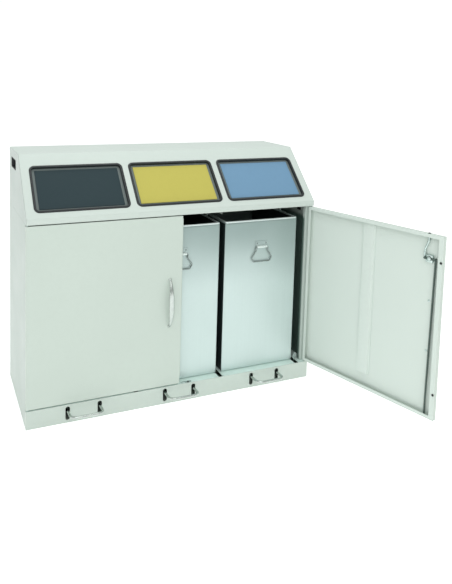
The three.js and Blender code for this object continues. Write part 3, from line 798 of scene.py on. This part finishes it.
def bow(x, name, body, mx):
    z = 410.0
    pts, rad = [], []
    m = 44
    for k in range(m + 1):
        t_ = -1 + 2 * k / m
        depth = 26.0 * (1 - abs(t_) ** 2.6) ** 0.7
        pts.append((x, F - 0.7 - depth, z + t_ * 96.5))
        k_ = 1 - abs(t_) ** 2.0
        rad.append((2.4 + 0.8 * k_, 2.8 + 7.0 * k_))
    feet = [lathe([(0, 0), (6.4, 0), (6.4, 1.0), (5.6, 2.2), (3.6, 3.0), (0, 3.0)], 22, (x, F - 0.35, z + s * 93), (0, -1, 0)) for s in (-1, 1)]
    make(name, *merge(sweep(pts, rad, 18), *feet), CHROME, body, "zinc_steel", matrix=mx, angle=50, stands_for=(("left_door_handle",) if mx is None else ("right_door_handle",)))
    heads = [screw((x, F + T + 0.2, z + s * 93), (0, 1, 0), 4.6, 2.4) for s in (-1, 1)]
    make(name + "_screws", *merge(*heads), ZINC, body, "zinc_steel", matrix=mx, angle=40)


bow(-50.0, "left_bow_handle", "left_door_leaf", None)
bow(51.0, "right_bow_handle", "right_door_leaf", DOOR)
for nm, z in (("upper", 656.0), ("lower", 170.0)):
    part = lathe([(0, 0.0), (4.4, 0.0), (4.4, 1.2), (3.8, 2.2), (2.2, 2.75), (0, 2.8)], 24, (7, F + 18.3, z), (0, 1, 0))
    make(f"buffer_{nm}", *part, RUBBER, "right_door_leaf", "rubber", matrix=DOOR, angle=40, stands_for=(f"door_buffer_{nm}",))
for nm, s in (("left", -1), ("right", 1)):
    for which, za, zb in (("bottom", PLINTH + 0.4, PLINTH + 14), ("top", HOOD_Z - 13, HOOD_Z - 0.1)):
        part = lathe([(0, za), (3.0, za), (3.0, zb - 0.8), (2.3, zb), (0, zb)], 20, (s * 594, F + 6, 0), (0, 0, 1))
        make(f"{nm}_pin_{which}", *part, ZINC, "cabinet", "zinc_steel", angle=40, stands_for=(f"{nm}_hinge_pin_{which}",))

# lock: rosette and barrel outside, case, cam and rods inside
rosette = lathe([(0, -4.0), (4.6, -4.0), (4.9, -3.6), (4.9, -3.1), (6.0, -3.1), (11.8, -2.4), (12.9, -1.6), (13.0, -0.35), (8.0, -0.35), (8.0, 8.0), (0, 8.0)], 30, (55, F, 660), (0, 1, 0))
key = slab(rrect(0.7, 2.7, 0.6, 2), 3.9, 4.25)
key = remap(key, lambda a, b, c_: (55 + a, F - c_, 660 + b))
case = slab(rrect(12.9, 13.9, 2.2, 4), F + T + 0.35, F + 11.4, 0.9)
case = remap(case, lambda a, b, c_: (55 + a, c_, 660 + b))
nut = lathe([(0, 11.3), (6.8, 11.3), (6.8, 12.4), (0, 12.4)], 6, (55, F, 660), (0, 1, 0))
make("lock_body", *merge(rosette, case, nut), ZINC, "right_door_leaf", "zinc_steel", matrix=DOOR, angle=35, stands_for=("lock_case",))
make("lock_key_slot", *key, BLACK, "right_door_leaf", "dark_paint", matrix=DOOR, angle=35)
out = []
for k in range(9):
    a = math.pi / 2 + math.pi * k / 8
    out.append((-20.5 + 4.4 * math.cos(a), 4.4 * math.sin(a)))
for k in range(7):
    a = math.radians(205 + 130 * k / 6)
    out.append((9.0 * math.cos(a), 9.0 * math.sin(a)))
for k in range(9):
    a = -math.pi / 2 + math.pi * k / 8
    out.append((16.5 + 4.4 * math.cos(a), 4.4 * math.sin(a)))
for k in range(7):
    a = math.radians(25 + 130 * k / 6)
    out.append((9.0 * math.cos(a), 9.0 * math.sin(a)))
cam = remap(slab(out, F + 12.65, F + 14.7, 0.4), lambda a, b, c_: (55 + a, c_, 660 + b))
boss = screw((55, F + 14.7, 660), (0, 1, 0), 7.6, 2.4)
pins = [rivet((55 + dx, F + 14.7, 660), (0, 1, 0), 2.6, 1.1) for dx in (-22.0, 17.5)]
make("lock_cam_plate", *merge(cam, *pins), ROD_PAINT_AND_SHADE, "lock_cam", "zinc_steel", matrix=DOOR, angle=35, stands_for=("lock_cam",))
make("lock_cam_screw", *boss, ZINC, "lock_cam", "zinc_steel", matrix=DOOR, angle=35)
low = fillet([(32, F + 8, 664.8), (32.3, F + 8, 643), (41, F + 8, 140), (41, F + 8, 75.2)], 30, 5)
# painted shade: the lower rod is dark, standing for the shadowed gap between the rod and the door's return
make("lock_rod_low", *sweep(low, 3.4, 16), ROD_PAINT_AND_SHADE, "lock_rod_lower", "dark_paint", matrix=DOOR, angle=50, stands_for=("lower_lock_rod",))
up = fillet([(74, F + 8, 655.2), (74, F + 8, 690), (61, F + 8, 722), (61, F + 8, 753.3)], 10, 7)
make("lock_rod_up", *sweep(up, 3.7, 16), ZINC, "lock_rod_upper", "zinc_steel", matrix=DOOR, angle=50, stands_for=("upper_lock_rod",))

# the rod's tip is black: painted shade for the hole in the door's top edge that the rod passes through
tip = lathe([(0, 750.6), (4.3, 750.6), (4.3, 752.8), (3.4, 753.6), (0, 753.6)], 22, (61, F + 8, 0), (0, 0, 1))
make("lock_rod_tip", *tip, BLACK, "lock_rod_upper", "dark_paint", matrix=DOOR, angle=40)

# strike plate on the floor behind the free edge of the right door, with a round hole for the lower rod
sx, sy, hx, hy = 31.0, F + 8.6, 23.0, 6.6
edge = [(-hx, -hy), (-hx / 2, -hy), (10, -hy), (hx, -hy), (hx, 0), (hx, hy), (10, hy), (-hx / 2, hy), (-hx, hy), (-hx, 0)]
n_hole = 20
hole = [(41 - sx + 5.4 * math.cos(2 * math.pi * k / n_hole), -0.6 + 5.4 * math.sin(2 * math.pi * k / n_hole)) for k in range(n_hole)]
verts, faces = [], []
for x, y in hole:
    verts.append((sx + x, sy + y, PLINTH + 0.9))
for k, (x, y) in enumerate(hole):
    ang = 2 * math.pi * k / n_hole
    dx, dy = math.cos(ang), math.sin(ang)
    cx, cy = 41 - sx, -0.6
    t_ = min(((hx - cx) / dx if dx > 1e-6 else 1e9), ((-hx - cx) / dx if dx < -1e-6 else 1e9), ((hy - cy) / dy if dy > 1e-6 else 1e9), ((-hy - cy) / dy if dy < -1e-6 else 1e9))
    verts.append((sx + cx + dx * t_, sy + cy + dy * t_, PLINTH + 0.9))
for k in range(n_hole):
    faces.append((k, (k + 1) % n_hole, n_hole + (k + 1) % n_hole, n_hole + k))
make("strike_plate", verts, faces, ZINC, "cabinet", "zinc_steel", thick=1.2)
make("strike_screws", *merge(*[screw((x, sy, PLINTH + 1.5), (0, 0, 1), 3.2, 1.3) for x in (14, 27)]), ZINC, "cabinet", "zinc_steel", angle=40)

# ------------------------------------------------------------------ stage, lights, camera
floor = bpy.data.meshes.new("floor")
ring_n = 96
floor.from_pydata([(24 * math.cos(2 * math.pi * k / ring_n), 24 * math.sin(2 * math.pi * k / ring_n), -0.0004) for k in range(ring_n)], [], [tuple(range(ring_n))])
fo = bpy.data.objects.new("floor", floor)
bpy.context.scene.collection.objects.link(fo)
fm = Mat("floor_pale")
fm.link(fm.mix(fm.span(fm.noise(1.5, 3), 0.3, 0.7, 0, 1), (0.90, 0.905, 0.90, 1), (0.93, 0.935, 0.93, 1)), fm.b.inputs["Base Color"])
fm.b.inputs["Roughness"].default_value = 0.9
fm.b.inputs["Specular IOR Level"].default_value = 0.1
fm.b.inputs["Emission Color"].default_value = (1, 1, 1, 1)
fm.b.inputs["Emission Strength"].default_value = 0.42
floor.materials.append(fm.m)

world = bpy.data.worlds.new("studio")
bpy.context.scene.world = world
world.use_nodes = True
wt = world.node_tree
bg = wt.nodes["Background"]
bg.inputs["Color"].default_value = (1.0, 1.0, 1.0, 1)
bg.inputs["Strength"].default_value = 1.02
# the white backdrop is seen at full strength; the room that lights the object is dimmer near the horizon
room = wt.nodes.new("ShaderNodeBackground")
room.inputs["Color"].default_value = (0.985, 1.0, 0.995, 1)
wc = wt.nodes.new("ShaderNodeTexCoord")
ws = wt.nodes.new("ShaderNodeSeparateXYZ")
wr = wt.nodes.new("ShaderNodeMapRange")
wr.inputs["From Min"].default_value, wr.inputs["From Max"].default_value = 0.0, 0.8
wr.inputs["To Min"].default_value, wr.inputs["To Max"].default_value = 0.55, 0.85
lp = wt.nodes.new("ShaderNodeLightPath")
wm = wt.nodes.new("ShaderNodeMixShader")
wt.links.new(wc.outputs["Generated"], ws.inputs[0])
wt.links.new(ws.outputs["Z"], wr.inputs["Value"])
wt.links.new(wr.outputs["Result"], room.inputs["Strength"])
wt.links.new(lp.outputs["Is Camera Ray"], wm.inputs[0])
wt.links.new(room.outputs[0], wm.inputs[1])
wt.links.new(bg.outputs[0], wm.inputs[2])
wt.links.new(wm.outputs[0], wt.nodes["World Output"].inputs["Surface"])


def area(name, at, aim, size, power, color=(1, 1, 1)):
    l = bpy.data.lights.new(name, "AREA")
    l.shape = "SQUARE"
    l.size = size
    l.energy = power
    l.color = color
    o = bpy.data.objects.new(name, l)
    bpy.context.scene.collection.objects.link(o)
    o.location = at
    o.rotation_euler = (Vector(aim) - Vector(at)).to_track_quat("-Z", "Y").to_euler()
    return o


area("key", (-0.9, -3.4, 2.9), (0, 0, 0.5), 2.4, 30)
area("top", (0.0, 0.3, 4.2), (0, 0.1, 0.5), 3.0, 46, (0.97, 0.985, 1.0))

cam_data = bpy.data.cameras.new("camera")
cam_o = bpy.data.objects.new("camera", cam_data)
bpy.context.scene.collection.objects.link(cam_o)
yaw, pitch, roll = 0.39162, 0.09174, 0.02347
fw = Vector((math.sin(yaw) * math.cos(pitch), math.cos(yaw) * math.cos(pitch), -math.sin(pitch)))
rt = Vector((math.cos(yaw), -math.sin(yaw), 0))
up_ = rt.cross(fw)
r2 = rt * math.cos(roll) + up_ * math.sin(roll)
u2 = up_ * math.cos(roll) - rt * math.sin(roll)
cam_o.matrix_world = Matrix(((r2.x, u2.x, -fw.x, -0.92048), (r2.y, u2.y, -fw.y, -2.39436), (r2.z, u2.z, -fw.z, 1.30011), (0, 0, 0, 1)))
cam_data.sensor_fit = "AUTO"
cam_data.sensor_width = 36.0
cam_data.lens = 36.0 * 618.401 / 584
cam_data.shift_x = (226 - 179.876) / 584
cam_data.shift_y = (130.652 - 292) / 584
cam_data.clip_start, cam_data.clip_end = 0.05, 100
cam_data.dof.use_dof = False
bpy.context.scene.camera = cam_o
bpy.context.scene.view_settings.view_transform = "Standard"
